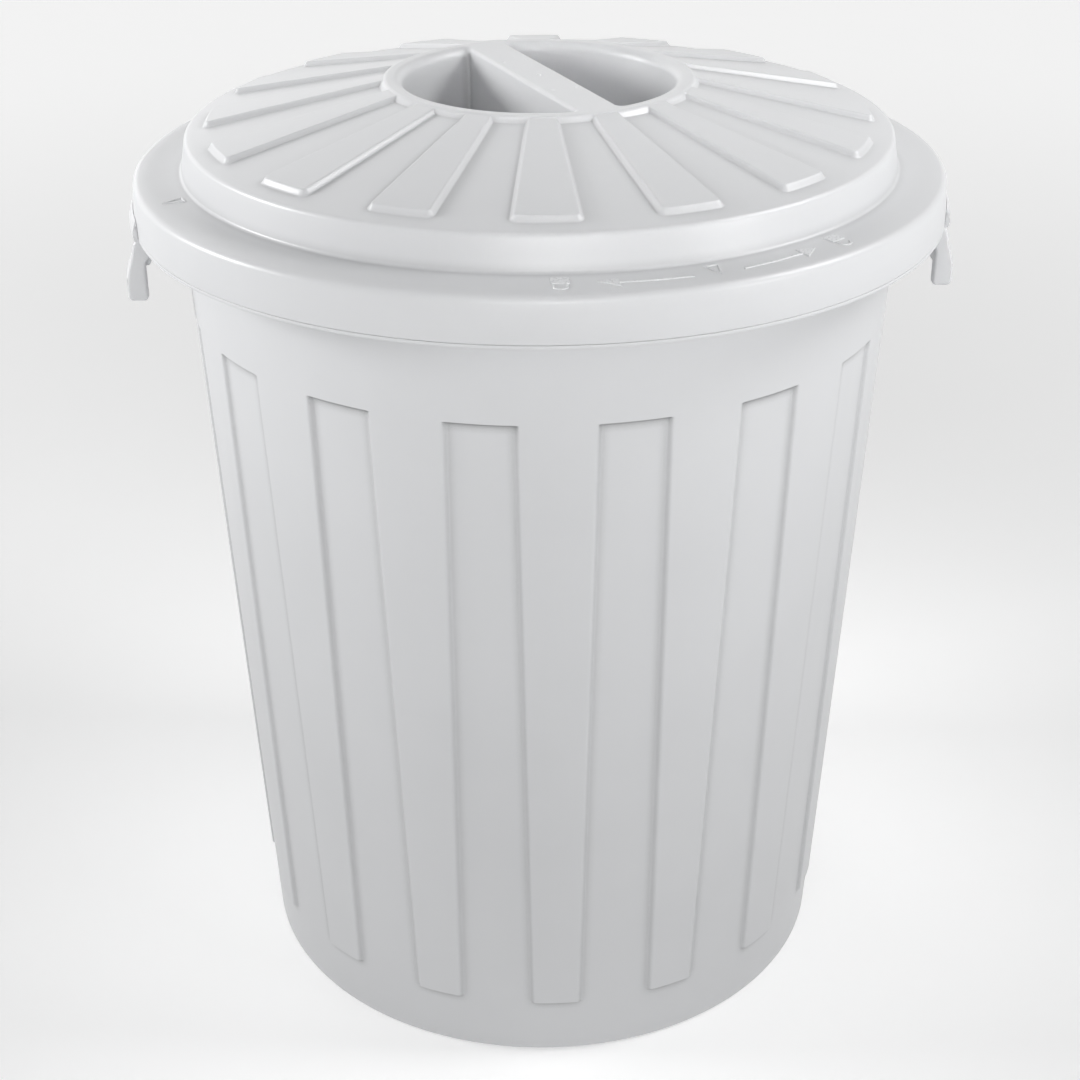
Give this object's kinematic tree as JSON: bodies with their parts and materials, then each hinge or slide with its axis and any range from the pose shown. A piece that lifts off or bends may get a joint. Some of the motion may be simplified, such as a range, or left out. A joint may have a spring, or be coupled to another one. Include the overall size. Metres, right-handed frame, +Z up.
{
  "type": "trash can with screw lid",
  "caption": "Round tapered plastic bin with a finger-ribbed wall, swinging side handles and a screw-on ribbed lid with a recessed hand grip.",
  "frame": {"origin": "centre of the bin's foot on the floor, at the middle of the bounding box's bottom face", "axes": "+Z up along the bin's axis, +X towards the right handle, -Y towards the front"},
  "size_m": [0.475, 0.4598, 0.553],
  "materials": {
    "bucket_plastic": "satin light grey moulded plastic",
    "lid_plastic": "satin light grey moulded plastic",
    "handle_plastic": "satin light grey moulded plastic",
    "seal_rubber": "matte dark rubber"
  },
  "bodies": {
    "bucket": {"bucket": "bucket_plastic"},
    "lid_seal": {"lid_seal": "seal_rubber"},
    "lid": {"lid": "lid_plastic"},
    "handle_left": {"handle_left": "handle_plastic"},
    "handle_right": {"handle_right": "handle_plastic"}
  },
  "joints": [
    {"name": "lid_lift", "type": "slide", "parent": "bucket", "child": "lid_seal", "axis": [0, 0, 1], "range_m": [0, 0.25]},
    {"name": "lid_turn", "type": "hinge", "parent": "lid_seal", "child": "lid", "pos_m": [0, 0, 0.502], "axis": [0, 0, 1], "range_deg": [0, 45]},
    {"name": "handle_left_swing", "type": "hinge", "parent": "bucket", "child": "handle_left", "pos_m": [-0.2224, 0, 0.47], "axis": [0, 1, 0], "range_deg": [0, 90]},
    {"name": "handle_right_swing", "type": "hinge", "parent": "bucket", "child": "handle_right", "pos_m": [0.2224, 0, 0.47], "axis": [0, -1, 0], "range_deg": [0, 90]}
  ]
}
